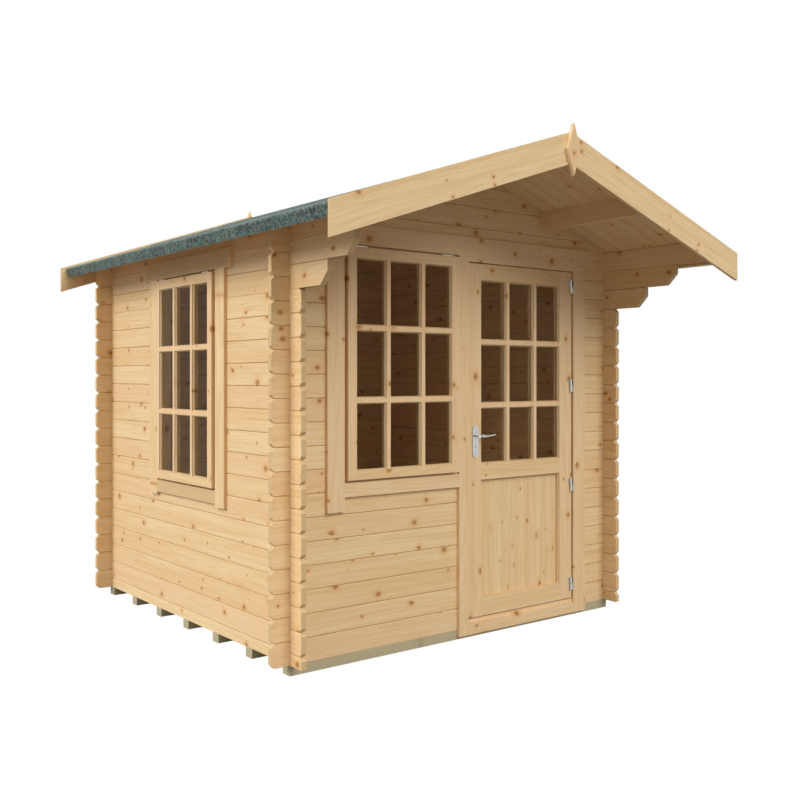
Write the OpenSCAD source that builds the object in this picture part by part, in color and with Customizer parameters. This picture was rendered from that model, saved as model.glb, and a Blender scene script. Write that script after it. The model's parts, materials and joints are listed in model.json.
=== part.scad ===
// Log cabin with a gabled roof, a part-glazed door and two windows.
// Millimetres, +Z up, front towards -Y. Origin: centre of the footprint, on the ground.

/* [Log walls] */
// Width over the outer faces of the side walls
cabin_w = 2240; // [2200:10:3200]
// Depth over the outer faces of the front and back walls
cabin_d = 2240; // [1800:10:3200]
// Height that one log covers in the wall
log_h = 114; // [108:1:140]
// Thickness of the log walls
log_t = 28; // [19:1:44]
// Full logs above the half log in each side wall
side_rows = 18; // [18:1:24]
// How far the log ends run past each corner
log_overhang = 100; // [60:5:150]
// Chamfer on the corners of each log end
end_chamfer = 18; // [5:1:25]
// Depth of the V-groove along each log joint
groove = 4; // [1:0.5:6]

/* [Base] */
// Height of the floor bearers
bearer_h = 50; // [36:1:100]
// Width of the floor bearers
bearer_w = 65; // [40:1:100]
// Number of floor bearers
bearer_count = 7; // [3:1:12]
// Thickness of the floor boards
floor_t = 19; // [15:1:30]
// Gap between the floor boards and the walls
floor_gap = 4; // [1:1:15]
// Number of floor boards side by side
floor_board_count = 23; // [10:1:30]

/* [Roof] */
// Roof pitch in degrees
roof_pitch = 19; // [12:0.5:30]
// Roof overhang past each side wall
eave_overhang = 262; // [150:1:400]
// Roof overhang past the front wall, to the face of the barge boards
front_overhang = 742; // [650:1:1200]
// Roof overhang past the back wall, to the face of the barge boards
rear_overhang = 183; // [150:1:500]
// Thickness of the roof boards
roof_board_t = 22; // [15:1:30]
// Thickness of the felt
felt_t = 4; // [2:0.5:6]
// How far the felt stops short of the barge boards' ends
felt_inset = 27; // [0:1:60]
// Depth of the felt's turned-down edge at the eaves
felt_drop = 58; // [40:1:80]
// Thickness of the eave battens
eave_batten_t = 16; // [12:1:30]
// Width of the barge boards
barge_w = 145; // [100:1:200]
// Thickness of the barge boards and the finials
barge_t = 20; // [12:1:30]
// How far the barge boards stand above the felt, measured upright
barge_rise = 13; // [0:1:40]
// Height of the diamond finials
finial_h = 252; // [150:1:400]
// Width of the diamond finials
finial_w = 88; // [50:1:150]
// Thickness of the purlins and the ridge beam
purlin_t = 44; // [28:1:60]
// Depth of the purlins and the ridge beam
purlin_h = 108; // [70:1:150]
// Distance from the ridge to the inner face of each purlin
purlin_x = 546; // [300:1:700]

/* [Corbels] */
// Reach of the lower corbel log past the front wall
corbel_reach_low = 320; // [200:1:450]
// Reach of the upper corbel log past the front wall
corbel_reach_high = 530; // [400:1:640]
// Chamfer under the end of each corbel log
corbel_chamfer = 62; // [20:1:80]

/* [Frames and trims] */
// Distance from the left wall's outer face to the first trim of the front unit
unit_left = 198; // [150:1:600]
// Width of the outer trims
trim_w = 100; // [70:1:130]
// Thickness of the trims
trim_t = 18; // [12:1:25]
// Height of the trims under the windows
sill_trim_h = 70; // [50:1:100]
// Height of the head trims
head_trim_h = 102; // [70:1:130]
// How far the head trims run past the upright trims
head_trim_reach = 70; // [0:1:90]
// Width of the post between window and door
post_w = 65; // [50:1:100]
// Width of the frame members beside the openings
jamb_w = 60; // [40:1:70]
// Depth of the frames, from the face of the logs inwards
frame_d = 58; // [44:1:80]
// Width of the stop strips that the door closes against
stop_w = 12; // [8:1:20]
// Gap between a sash and the trims around it
sash_gap = 12; // [6:1:20]
// Overlap of a sash on its frame
sash_lap = 12; // [6:1:20]

/* [Windows] */
// Width of a sash
sash_w = 714; // [600:1:900]
// Height of a sash
sash_h = 1144; // [800:1:1150]
// Depth of a sash
sash_d = 32; // [28:1:50]
// Face width of the stiles and the top rail
sash_stile = 51; // [35:1:80]
// Face width of the bottom rail
sash_rail_low = 44; // [35:1:90]
// Height of the front sash above the floor bearers
front_sash_z = 850; // [830:1:900]
// Height of the side sash above the floor bearers
side_sash_z = 768; // [760:1:850]
// Distance from the front wall's outer face to the middle of the side window
side_window_y = 1100; // [700:1:1200]
// Extra width of the middle column of panes
mid_pane_extra = 17; // [0:1:40]
// Face width of the glazing bars
bar_w = 24; // [15:1:35]
// Width of the moulding beside each pane
mould_w = 6.5; // [2:0.5:10]
// Thickness of the glass
glass_t = 4; // [3:1:8]
// Depth from the face of a frame to its glass
glass_set = 18; // [14:1:20]

/* [Door] */
// Clear width between the upright trims of the door
doorway_w = 827; // [700:1:1000]
// Height of the top of the door leaf above the floor bearers
leaf_top = 1973; // [1900:1:2000]
// Height of the bottom of the door leaf above the floor bearers
leaf_bottom = 52; // [45:1:80]
// Thickness of the door leaf
leaf_t = 40; // [36:1:50]
// How far the leaf stands in front of the face of the logs
leaf_proud = 6; // [0:1:12]
// Gap on the lock side
gap_lock = 8; // [6:1:12]
// Gap on the hinge side
gap_hinge = 6; // [5:1:10]
// Gap over and under the leaf
gap_level = 5; // [5:1:10]
// Face width of the lock stile
lock_stile = 95; // [80:1:120]
// Face width of the hinge stile
hinge_stile = 102; // [80:1:120]
// Face height of the bottom rail
rail_low = 95; // [70:1:200]
// Height of the lower panel
panel_h = 649; // [400:1:750]
// Face height of the middle rail
rail_mid = 86; // [60:1:150]
// Height of the bottom row of panes
pane_h_low = 306; // [200:1:320]
// Height of the middle row of panes
pane_h_mid = 322; // [200:1:330]
// Thickness of the boards in the lower panel
panel_t = 12; // [8:1:16]
// Height of the threshold's front edge above the floor bearers
threshold_front = 27; // [20:1:30]
// How far the threshold and the uprights beside it drop below the logs
apron_drop = 34; // [0:1:36]

/* [Door ironmongery] */
// Hinges on the door
hinge_count = 4; // [2:1:4]
// Height of one hinge
hinge_h = 74; // [50:1:100]
// Radius of the hinge knuckles
knuckle_r = 6.5; // [5:0.5:8]
// Radius of the hinge pins
pin_r = 3; // [2:0.5:4]
// Radial clearance of the hinge pins and the handle necks
running_gap = 0.05; // [0.02:0.01:0.1]
// Distance from the leaf's ends to the middle of the outer hinges
hinge_inset = 84; // [60:1:200]
// Distance from the hinge axis to the hinge edge of the leaf
hinge_edge = 10; // [8:1:14]
// Distance from the lock edge of the leaf to the spindle
backset = 51; // [45:1:60]
// Height of the spindle above the floor bearers
spindle_z = 1038; // [950:1:1100]
// Width of the handle plates
plate_w = 44; // [34:1:50]
// Height of the handle plates
plate_h = 172; // [140:1:220]
// Thickness of the handle plates
plate_t = 5; // [3:1:8]
// Distance from the spindle to the keyhole
keyhole_drop = 57; // [50:1:75]
// How far the levers stand off the leaf
lever_reach = 50; // [40:1:65]
// Length of the levers from the spindle
lever_l = 112; // [90:1:130]

/* [Hidden] */
$fn = 48;
eps = 1;

// Walls
half_w = cabin_w / 2;
wall_h = (side_rows + 0.5) * log_h;
front_rows = side_rows;
front_top = front_rows * log_h;
plate_z = (side_rows - 0.5) * log_h;
corbel_z = plate_z - 2 * log_h;
lap = log_h / 4;

// Roof
roof_slope = tan(roof_pitch);
board_up = roof_board_t / cos(roof_pitch);
felt_up = felt_t / cos(roof_pitch);
barge_up = barge_w / cos(roof_pitch);
roof_half = half_w + eave_overhang;
roof_front = -front_overhang + barge_t;
roof_rear = cabin_d + rear_overhang - barge_t;
barge_apex = under(0) + board_up + felt_up + barge_rise;
mid_y = (cabin_d + rear_overhang - front_overhang) / 2;

// Openings in the front wall
unit_x = -half_w + unit_left;
front_sash_x = unit_x + trim_w + sash_gap;
post_x = front_sash_x + sash_w + sash_gap;
door_x = post_x + post_w;
door_end = door_x + doorway_w;
unit_end = door_end + trim_w;
front_cut_x = front_sash_x + sash_lap - jamb_w;
front_cut_end = door_end + jamb_w;
front_cut_z = floor((front_sash_z - 20) / log_h) * log_h;
front_cut_top = ceil((front_sash_z + sash_h + 30) / log_h) * log_h;
head_trim_z = front_sash_z + sash_h + sash_gap;
doorway_top = leaf_top + gap_level;

// Opening in the left wall
side_sash_y = side_window_y - sash_w / 2;
side_cut_y = side_sash_y + sash_lap - jamb_w;
side_cut_end = side_sash_y + sash_w - sash_lap + jamb_w;
side_cut_z = (floor((side_sash_z - 20) / log_h - 0.5) + 0.5) * log_h;
side_cut_top = (ceil((side_sash_z + sash_h + 30) / log_h - 0.5) + 0.5) * log_h;
side_head_z = side_sash_z + sash_h + sash_gap;

// Panes of a sash
pane_w = (sash_w - 2 * sash_stile - 2 * bar_w - mid_pane_extra) / 3;
pane_h = (sash_h - sash_stile - sash_rail_low - 2 * bar_w) / 3;
sash_columns = [pane_w, pane_w + mid_pane_extra, pane_w];
sash_rows = [pane_h, pane_h, pane_h];
glass_bite = 5;
pane_slack = 0.5;

// Door leaf
leaf_x = door_x + gap_lock;
leaf_end = door_end - gap_hinge;
leaf_front = -leaf_proud;
leaf_back = leaf_front + leaf_t;
stop_front = leaf_back + 6;
panel_z = leaf_bottom + rail_low;
glazing_z = panel_z + panel_h + rail_mid;
glazing_w = leaf_end - leaf_x - lock_stile - hinge_stile;
door_pane_w = (glazing_w - 2 * bar_w) / 3;
top_rail = 87;
pane_h_top = leaf_top - top_rail - glazing_z - pane_h_low - pane_h_mid - 2 * bar_w;
door_columns = [door_pane_w, door_pane_w, door_pane_w];
door_rows = [pane_h_low, pane_h_mid, pane_h_top];
hinge_x = leaf_end - hinge_edge;
hinge_y = leaf_front - knuckle_r - 0.5;
hinge_half = hinge_h / 2 - 0.5;
hinge_step = (leaf_top - leaf_bottom - 2 * hinge_inset) / (hinge_count - 1);
hinge_levels = [for (i = [0 : hinge_count - 1]) leaf_bottom + hinge_inset + i * hinge_step];
spindle_x = leaf_x + backset;
neck_r = 8;
spindle_side = 8;
plate_mid_z = spindle_z - 32;

// Height of the roof boards' underside at a distance x from the ridge
function under(x) = wall_h + (half_w - abs(x)) * roof_slope;
// Sum of the first n values of a list
function sum_to(v, n) = n == 0 ? 0 : v[n - 1] + sum_to(v, n - 1);
// Openings [x, z, width, height] of a glazed grid from its lower left corner
function grid(x, z, columns, rows) = [
    for (i = [0 : len(columns) - 1])
        for (j = [0 : len(rows) - 1])
            [x + sum_to(columns, i) + i * bar_w, z + sum_to(rows, j) + j * bar_w,
             columns[i], rows[j]]
];
// Outline of one log's end, going up, at a distance reach from the wall
function log_end(reach, z0, z1) = [
    [reach - end_chamfer, z0], [reach, z0 + end_chamfer],
    [reach, z1 - end_chamfer], [reach - end_chamfer, z1]
];
// Flip an outline left to right and run it the other way
function flipped(points) = [for (i = [len(points) - 1 : -1 : 0]) [-points[i][0], points[i][1]]];
// Profile of a wall with a V-groove on both faces at each joint height
function grooved_profile(joints, top) = concat(
    [[0, 0]],
    [for (z = joints) each [[0, z - groove], [groove, z], [0, z + groove]]],
    [[0, top], [log_t, top]],
    [for (i = [len(joints) - 1 : -1 : 0])
        let (z = joints[i])
        each [[log_t, z + groove], [log_t - groove, z], [log_t, z - groove]]],
    [[log_t, 0]]
);

// Put the cabin's own frame (front wall face at y = 0, bearer tops at z = 0) in the part's frame
module in_place() {
    translate([0, -mid_y, bearer_h]) children();
}

// A box from corner to corner
module block(low, high) {
    translate(low) cube(high - low);
}

// An outline in x and z, made into a board from y0 to y1
module board_xz(points, y0, y1) {
    translate([0, y1, 0]) rotate([90, 0, 0]) linear_extrude(y1 - y0) polygon(points);
}

// An outline in y and z, made into a board from x0 to x1
module board_yz(points, x0, x1) {
    translate([x0, 0, 0]) rotate([90, 0, 90]) linear_extrude(x1 - x0) polygon(points);
}

// ---- Log walls ----

front_joints = [for (k = [1 : front_rows - 1]) k * log_h];
gable_joints = [for (k = [1 : floor((under(0) - front_top) / log_h)]) k * log_h];
side_joints = [for (k = [0 : side_rows - 1]) (k + 0.5) * log_h];

// Whole front or back wall up to the roof, without openings
module end_wall_body() {
    reach = half_w + log_overhang;
    ends = [for (k = [0 : front_rows - 1]) each log_end(reach, k * log_h, (k + 1) * log_h)];
    difference() {
        intersection() {
            board_xz(concat(flipped(ends), ends), 0, log_t);
            board_yz(grooved_profile(front_joints, front_top), -reach, reach);
        }
        // Laps where the side walls' logs cross
        for (k = [0 : front_rows], side = [-1, 1])
            translate([side * (half_w - log_t / 2), log_t / 2, k * log_h])
                cube([log_t, log_t + 2 * eps, 2 * lap], center = true);
    }
}

// Gable logs between the side walls, with gaps for the ridge beam and the purlins
module gable_body() {
    inner = half_w - log_t;
    outline = [[-inner, front_top], [inner, front_top], [inner, under(inner)], [0, under(0)],
               [-inner, under(inner)]];
    difference() {
        intersection() {
            board_xz(outline, 0, log_t);
            translate([0, 0, front_top])
                board_yz(grooved_profile(gable_joints, under(0) - front_top), -inner, inner);
        }
        for (x = [-purlin_x - purlin_t, -purlin_t / 2, purlin_x])
            translate([x, -eps, purlin_low(x)])
                cube([purlin_t, log_t + 2 * eps, 2 * purlin_h]);
    }
}

module front_wall_part(low, high) {
    intersection() {
        end_wall_body();
        block([low[0], -eps, low[1]], [high[0], log_t + eps, high[1]]);
    }
}

wall_reach = half_w + log_overhang + eps;

module front_wall_left() {
    color("burlywood") in_place()
        front_wall_part([-wall_reach, front_cut_z], [front_cut_x, front_cut_top]);
}

module front_wall_below_window() {
    color("burlywood") in_place()
        front_wall_part([-wall_reach, -eps], [post_x, front_cut_z]);
}

module front_wall_right() {
    color("burlywood") in_place()
        front_wall_part([front_cut_end, -eps], [wall_reach, front_cut_top]);
}

module front_gable() {
    color("burlywood") in_place() {
        gable_body();
        if (front_cut_top < front_top)
            front_wall_part([-wall_reach, front_cut_top], [wall_reach, front_top]);
    }
}

module back_wall() {
    color("burlywood") in_place()
        translate([0, cabin_d, 0]) mirror([0, 1, 0]) end_wall_body();
}

module back_gable() {
    color("burlywood") in_place()
        translate([0, cabin_d, 0]) mirror([0, 1, 0]) gable_body();
}

// Left wall between two outlines of log ends, without its window
module side_wall_body(front, rear, z0, z1) {
    joints = [for (z = side_joints) if (z > z0 && z < z1) z - z0];
    difference() {
        intersection() {
            board_yz(concat(flipped(front), [for (p = rear) [cabin_d + p[0], p[1]]]),
                     -half_w, -half_w + log_t);
            translate([-half_w, 0, z0])
                board_xz(grooved_profile(joints, z1 - z0), -front_overhang,
                         cabin_d + log_overhang);
        }
        side_wall_laps();
    }
}

// Ends of the logs between two heights, counted in logs above the half log
function side_ends(from, to) = [
    for (k = [from : to - 1]) each log_end(log_overhang, (k + 0.5) * log_h, (k + 1.5) * log_h)
];
half_log_end = [[log_overhang, 0], [log_overhang, log_h / 2 - end_chamfer],
                [log_overhang - end_chamfer, log_h / 2]];
// End of one corbel log with its lower corner cut away
function corbel_end(reach, z) = [
    [reach - corbel_chamfer, z], [reach, z + corbel_chamfer], [reach, z + log_h]
];

// Left wall's logs under the corbels
module side_wall_lower() {
    ends = concat(half_log_end, side_ends(0, side_rows - 3));
    side_wall_body(ends, ends, 0, corbel_z);
}

// Left wall's two logs that reach forward as corbels
module side_wall_upper() {
    front = concat(corbel_end(corbel_reach_low, corbel_z),
                   corbel_end(corbel_reach_high, corbel_z + log_h));
    side_wall_body(front, side_ends(side_rows - 3, side_rows - 1), corbel_z, plate_z);
}

// Laps where the front and back walls' logs cross the left wall
module side_wall_laps() {
    for (k = [0 : front_rows - 1], y = [log_t / 2, cabin_d - log_t / 2])
        translate([-half_w + log_t / 2, y, (k + 0.5) * log_h])
            cube([log_t + 2 * eps, log_t, 2 * lap], center = true);
}

// Slice of the left wall from corner to corner in y and z
module side_slice(low, high) {
    intersection() {
        children();
        block([-half_w - eps, low[0], low[1]], [-half_w + log_t + eps, high[0], high[1]]);
    }
}

side_reach = cabin_d + log_overhang + eps;

module left_wall_base() {
    color("navajowhite") in_place()
        side_slice([-side_reach, -eps], [side_reach, side_cut_z]) side_wall_lower();
}

module left_wall_front() {
    color("navajowhite") in_place()
        side_slice([-side_reach, side_cut_z], [side_cut_y, corbel_z + eps]) side_wall_lower();
}

module left_wall_rear() {
    color("navajowhite") in_place()
        side_slice([side_cut_end, side_cut_z], [side_reach, corbel_z + eps]) side_wall_lower();
}

// Upper logs on both sides of the window, with the corbels at the front
module left_corbel_logs() {
    color("navajowhite") in_place() difference() {
        side_wall_upper();
        block([-half_w - eps, side_cut_y, side_cut_z], [-half_w + log_t + eps, side_cut_end,
              side_cut_top < plate_z ? side_cut_top : side_cut_top + eps]);
    }
}

module right_wall() {
    color("navajowhite") in_place() mirror([1, 0, 0]) side_wall_lower();
}

module right_corbel_logs() {
    color("navajowhite") in_place() mirror([1, 0, 0]) side_wall_upper();
}

// Top logs of the side walls, cut to the slope of the roof
module wall_plates() {
    outer = -half_w;
    inner = outer + log_t;
    outline = [[outer, plate_z], [inner, plate_z], [inner, under(inner)], [outer, under(outer)]];
    color("navajowhite") in_place()
        for (side = [0, 1]) mirror([side, 0, 0]) difference() {
            board_xz(outline, roof_front, roof_rear);
            side_wall_laps();
        }
}

// ---- Base ----

module floor_bearers() {
    step = (cabin_d - bearer_w) / (bearer_count - 1);
    color("darkkhaki") in_place()
        for (i = [0 : bearer_count - 1])
            block([-half_w, i * step, -bearer_h], [half_w, i * step + bearer_w, 0]);
}

module floor_boards() {
    inner = half_w - log_t - floor_gap;
    step = 2 * inner / floor_board_count;
    v = 2;
    joints = [for (i = [floor_board_count - 1 : -1 : 1]) -inner + i * step];
    profile = concat([[-inner, 0], [inner, 0], [inner, floor_t]],
                     [for (x = joints) each [[x + v, floor_t], [x, floor_t - v],
                                             [x - v, floor_t]]],
                     [[-inner, floor_t]]);
    color("tan") in_place() difference() {
        board_xz(profile, log_t + floor_gap, cabin_d - log_t - floor_gap);
        block([post_x - floor_gap, 0, -eps],
              [front_cut_end + floor_gap, frame_d + floor_gap, floor_t + eps]);
    }
}

// ---- Roof ----

// Height of the underside of the roof timber whose left face stands at x
function purlin_low(x) = x == -purlin_t / 2
    ? under(purlin_t / 2) - purlin_h
    : under(purlin_x) - purlin_h;

module purlin_bodies() {
    low = purlin_low(purlin_x);
    outline = [[purlin_x, low], [purlin_x + purlin_t, low],
               [purlin_x + purlin_t, under(purlin_x + purlin_t)], [purlin_x, under(purlin_x)]];
    for (side = [0, 1]) mirror([side, 0, 0]) difference() {
        board_xz(outline, roof_front, roof_rear);
        timber_end_cut(purlin_x - eps, purlin_x + purlin_t + eps, low);
    }
}

module ridge_body() {
    half = purlin_t / 2;
    low = purlin_low(-half);
    outline = [[-half, low], [half, low], [half, under(half)], [0, under(0)], [-half, under(half)]];
    difference() {
        board_xz(outline, roof_front, roof_rear);
        timber_end_cut(-half - eps, half + eps, low);
    }
}

// Chamfer under the front end of a roof timber
module timber_end_cut(x0, x1, z) {
    cut = 40;
    board_yz([[roof_front - eps, z - eps], [roof_front + cut, z - eps],
              [roof_front + cut, z], [roof_front, z + cut], [roof_front - eps, z + cut]], x0, x1);
}

module purlins() {
    color("peru") in_place() purlin_bodies();
}

module ridge_beam() {
    color("peru") in_place() ridge_body();
}

felt_edge = (roof_half - felt_inset - (roof_board_t + felt_t) * sin(roof_pitch)) / cos(roof_pitch);
batten_edge = felt_edge - felt_t;
board_edge = batten_edge - eave_batten_t;
eave_low = roof_board_t + felt_t - felt_drop;

// Point on the right slope: distance down from the ridge, height over the boards' underside
function on_slope(s, h) = [
    s * cos(roof_pitch) + h * sin(roof_pitch),
    under(0) - s * sin(roof_pitch) + h * cos(roof_pitch)
];

module roof_slope_boards() {
    board_xz([[0, under(0)], on_slope(board_edge, 0), on_slope(board_edge, roof_board_t),
              [0, under(0) + board_up]], roof_front, roof_rear);
}

module roof_boards_left() {
    color("sienna") in_place() mirror([1, 0, 0]) roof_slope_boards();
}

module roof_boards_right() {
    color("sienna") in_place() roof_slope_boards();
}

module eave_battens() {
    color("peru") in_place()
        for (side = [0, 1]) mirror([side, 0, 0])
            board_xz([on_slope(board_edge, eave_low), on_slope(batten_edge, eave_low),
                      on_slope(batten_edge, roof_board_t), on_slope(board_edge, roof_board_t),
                      on_slope(board_edge, 0)], roof_front, roof_rear);
}

// Felt on the right slope, turned down over the batten with a soft corner
module felt_slope() {
    top = roof_board_t + felt_t;
    soft = 8;
    board_xz([[0, under(0) + board_up], on_slope(board_edge, roof_board_t),
              on_slope(batten_edge, roof_board_t), on_slope(batten_edge, eave_low),
              on_slope(felt_edge, eave_low), on_slope(felt_edge, top - soft),
              on_slope(felt_edge - 0.3 * soft, top - 0.3 * soft),
              on_slope(felt_edge - soft, top), [0, under(0) + board_up + felt_up]],
             roof_front, roof_rear);
}

module roof_felt_left() {
    color("darkslategray") in_place() mirror([1, 0, 0]) felt_slope();
}

module roof_felt_right() {
    color("darkslategray") in_place() felt_slope();
}

// A barge board on the right slope, from y0 to y1
module barge_board(y0, y1) {
    drop = roof_half * roof_slope;
    board_xz([[0, barge_apex - barge_up], [roof_half, barge_apex - barge_up - drop],
              [roof_half, barge_apex - drop], [0, barge_apex]], y0, y1);
}

module barge_front_left() {
    color("wheat") in_place() mirror([1, 0, 0]) barge_board(-front_overhang, roof_front);
}

module barge_front_right() {
    color("wheat") in_place() barge_board(-front_overhang, roof_front);
}

module barge_rear_left() {
    color("wheat") in_place() mirror([1, 0, 0]) barge_board(roof_rear, cabin_d + rear_overhang);
}

module barge_rear_right() {
    color("wheat") in_place() barge_board(roof_rear, cabin_d + rear_overhang);
}

module finials() {
    mid = barge_apex - 88;
    diamond = [[0, mid - finial_h / 2], [finial_w / 2, mid], [0, mid + finial_h / 2],
               [-finial_w / 2, mid]];
    rear = cabin_d + rear_overhang;
    color("wheat") in_place() {
        board_xz(diamond, -front_overhang - barge_t, -front_overhang);
        board_xz(diamond, rear, rear + barge_t);
    }
}

// ---- Frames and trims ----

module frame_posts() {
    stop_low = threshold_top;
    color("tan") in_place() {
        block([front_cut_x, 0, front_cut_z],
              [front_cut_x + jamb_w, frame_d, front_head_low]);
        block([post_x, 0, 0], [door_x, frame_d, front_head_low]);
        block([door_x - eps, stop_front, stop_low], [door_x + stop_w, frame_d, front_head_low]);
        block([door_end, 0, 0], [front_cut_end, frame_d, front_head_low]);
        block([door_end - stop_w, stop_front, stop_low],
              [door_end + eps, frame_d, front_head_low]);
        for (y = [side_cut_y, side_cut_end - jamb_w])
            block([-half_w, y, side_cut_z], [-half_w + frame_d, y + jamb_w, side_cut_top]);
    }
}

threshold_top = leaf_bottom - gap_level;
front_head_low = front_sash_z + sash_h - sash_lap;

module frame_rails() {
    color("tan") in_place() {
        block([front_cut_x, 0, front_head_low], [front_cut_end, frame_d, front_cut_top]);
        block([front_cut_x + jamb_w, 0, front_cut_z],
              [post_x, frame_d, front_sash_z + sash_lap]);
        block([-half_w, side_cut_y + jamb_w, side_cut_z],
              [-half_w + frame_d, side_cut_end - jamb_w, side_sash_z + sash_lap]);
        block([-half_w, side_cut_y + jamb_w, side_sash_z + sash_h - sash_lap],
              [-half_w + frame_d, side_cut_end - jamb_w, side_cut_top]);
    }
}

module trim_uprights() {
    side_low = side_sash_z - sash_gap - sill_trim_h - 16;
    front_low = front_sash_z - sash_gap - sill_trim_h - 69;
    color("blanchedalmond") in_place() {
        block([unit_x, -trim_t, front_low], [unit_x + trim_w, 0, head_trim_z]);
        block([post_x, -trim_t, -apron_drop], [door_x, 0, doorway_top]);
        block([door_end, -trim_t, -apron_drop], [unit_end, 0, head_trim_z]);
        for (y = [side_sash_y - sash_gap - trim_w, side_sash_y + sash_w + sash_gap])
            block([-half_w - trim_t, y, side_low], [-half_w, y + trim_w, side_head_z]);
    }
}

module trim_rails() {
    top = head_trim_z + head_trim_h;
    left = unit_x - head_trim_reach;
    right = unit_end + head_trim_reach;
    side_low = side_sash_y - sash_gap;
    side_high = side_sash_y + sash_w + sash_gap;
    side_reach_out = trim_w + head_trim_reach;
    color("blanchedalmond") in_place() {
        board_xz([[left, head_trim_z], [post_x, head_trim_z], [post_x, doorway_top],
                  [door_end, doorway_top], [door_end, head_trim_z], [right, head_trim_z],
                  [right, top], [left, top]], -trim_t, 0);
        block([unit_x + trim_w, -trim_t, front_sash_z - sash_gap - sill_trim_h],
              [post_x, 0, front_sash_z - sash_gap]);
        block([-half_w - trim_t, side_low - side_reach_out, side_head_z],
              [-half_w, side_high + side_reach_out, side_head_z + head_trim_h]);
        block([-half_w - trim_t, side_low, side_sash_z - sash_gap - sill_trim_h],
              [-half_w, side_high, side_sash_z - sash_gap]);
    }
}

// Stepped threshold between the uprights of the door
module threshold() {
    color("tan") in_place()
        board_yz([[-trim_t, -apron_drop], [0, -apron_drop], [0, 0], [frame_d, 0],
                  [frame_d, threshold_top], [leaf_front, threshold_top],
                  [leaf_front, threshold_front], [-trim_t, threshold_front]], door_x, door_end);
}

// ---- Glazed frames ----

// Cutter for one moulded opening: x, z, width and height at the face, from front to back
module moulded_opening(cell, front, back) {
    step = 4;
    side = function (size) [
        [0, front - eps], [0, front + step], [mould_w, front + step + 1.2 * mould_w],
        [mould_w, back + eps], [size - mould_w, back + eps],
        [size - mould_w, front + step + 1.2 * mould_w], [size, front + step], [size, front - eps]
    ];
    translate([cell[0], 0, cell[1]]) intersection() {
        translate([0, 0, -eps]) linear_extrude(cell[3] + 2 * eps) polygon(side(cell[2]));
        board_yz([for (p = side(cell[3])) [p[1], p[0]]], -eps, cell[2] + eps);
    }
}

// Pane of glass in a moulded opening, smaller all round by slack
module pane(cell, front, slack) {
    low = mould_w - glass_bite + slack;
    translate([cell[0] + low, front + glass_set, cell[1] + low])
        cube([cell[2] - 2 * low, glass_t, cell[3] - 2 * low]);
}

// A board frame with moulded openings and grooves for its glass
module glazed_frame(low, high, cells, front, back) {
    difference() {
        block([low[0], front, low[1]], [high[0], back, high[1]]);
        for (cell = cells) {
            moulded_opening(cell, front, back);
            pane(cell, front, 0);
        }
    }
}

sash_cells = grid(sash_stile, sash_rail_low, sash_columns, sash_rows);

module sash() {
    glazed_frame([0, 0], [sash_w, sash_h], sash_cells, -sash_d, 0);
}

module sash_panes() {
    for (cell = sash_cells) pane(cell, -sash_d, pane_slack);
}

module at_front_window() {
    translate([front_sash_x, 0, front_sash_z]) children();
}

module at_side_window() {
    translate([-half_w, side_sash_y + sash_w, side_sash_z]) rotate([0, 0, -90]) children();
}

module front_sash() {
    color("bisque") in_place() at_front_window() sash();
}

module front_glass() {
    color("slategray") in_place() at_front_window() sash_panes();
}

module side_sash() {
    color("bisque") in_place() at_side_window() sash();
}

module side_glass() {
    color("slategray") in_place() at_side_window() sash_panes();
}

// Two butt hinges on the head of each sash
module sash_hinges() {
    r = 4;
    inset = 44;
    length = 70;
    for (x = [inset, sash_w - inset - length])
        translate([x, -sash_d + r, sash_h + r]) {
            rotate([0, 90, 0]) cylinder(h = length, r = r);
            translate([0, 0, -r]) cube([length, sash_d - r, 2]);
        }
}

module window_hinges() {
    color("silver") in_place() {
        at_front_window() sash_hinges();
        at_side_window() sash_hinges();
    }
}

// ---- Door ----

door_cells = grid(leaf_x + lock_stile, glazing_z, door_columns, door_rows);
panel_cell = [leaf_x + lock_stile, panel_z, glazing_w, panel_h];

module door_leaf() {
    color("bisque") in_place() difference() {
        glazed_frame([leaf_x, leaf_bottom], [leaf_end, leaf_top], door_cells,
                     leaf_front, leaf_back);
        moulded_opening(panel_cell, leaf_front, leaf_back);
        panel_board(0);
        // Way for the spindle
        translate([spindle_x, leaf_front - eps, spindle_z]) rotate([-90, 0, 0])
            cylinder(h = leaf_t + 2 * eps, r = neck_r + 2);
    }
}

module panel_board(slack) {
    low = mould_w - 2 * glass_bite + slack;
    translate([panel_cell[0] + low, leaf_front + glass_set + 4, panel_cell[1] + low])
        cube([panel_cell[2] - 2 * low, panel_t, panel_cell[3] - 2 * low]);
}

module door_panel() {
    color("burlywood") in_place() panel_board(pane_slack);
}

module door_glass() {
    color("slategray") in_place()
        for (cell = door_cells) pane(cell, leaf_front, pane_slack);
}

// Lower halves with their pins, on the trim beside the leaf
module door_hinges_fixed() {
    color("silver") in_place()
        for (z = hinge_levels) translate([hinge_x, hinge_y, z - hinge_h / 2]) {
            cylinder(h = hinge_half, r = knuckle_r);
            cylinder(h = hinge_h, r = pin_r);
            translate([0, -1, 0]) cube([door_end - hinge_x, 3, hinge_half]);
            translate([door_end - hinge_x - 2, -4, 0]) cube([2, 16, hinge_h]);
        }
}

// Upper halves, on the face of the leaf
module door_hinges_moving() {
    color("silver") in_place()
        for (z = hinge_levels) translate([hinge_x, hinge_y, z + 0.5]) difference() {
            union() {
                cylinder(h = hinge_half, r = knuckle_r);
                translate([-14, knuckle_r - 2, 0]) cube([14 + hinge_edge - 2, 2.5, hinge_half]);
            }
            translate([0, 0, -eps]) cylinder(h = hinge_h, r = pin_r + running_gap);
        }
}

// Outline of a plate with round ends, in x and z around its middle
module plate_outline() {
    r = plate_w / 2;
    hull_less = plate_h / 2 - r;
    square([plate_w, 2 * hull_less], center = true);
    for (z = [-hull_less, hull_less]) translate([0, z]) circle(r = r);
}

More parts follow.
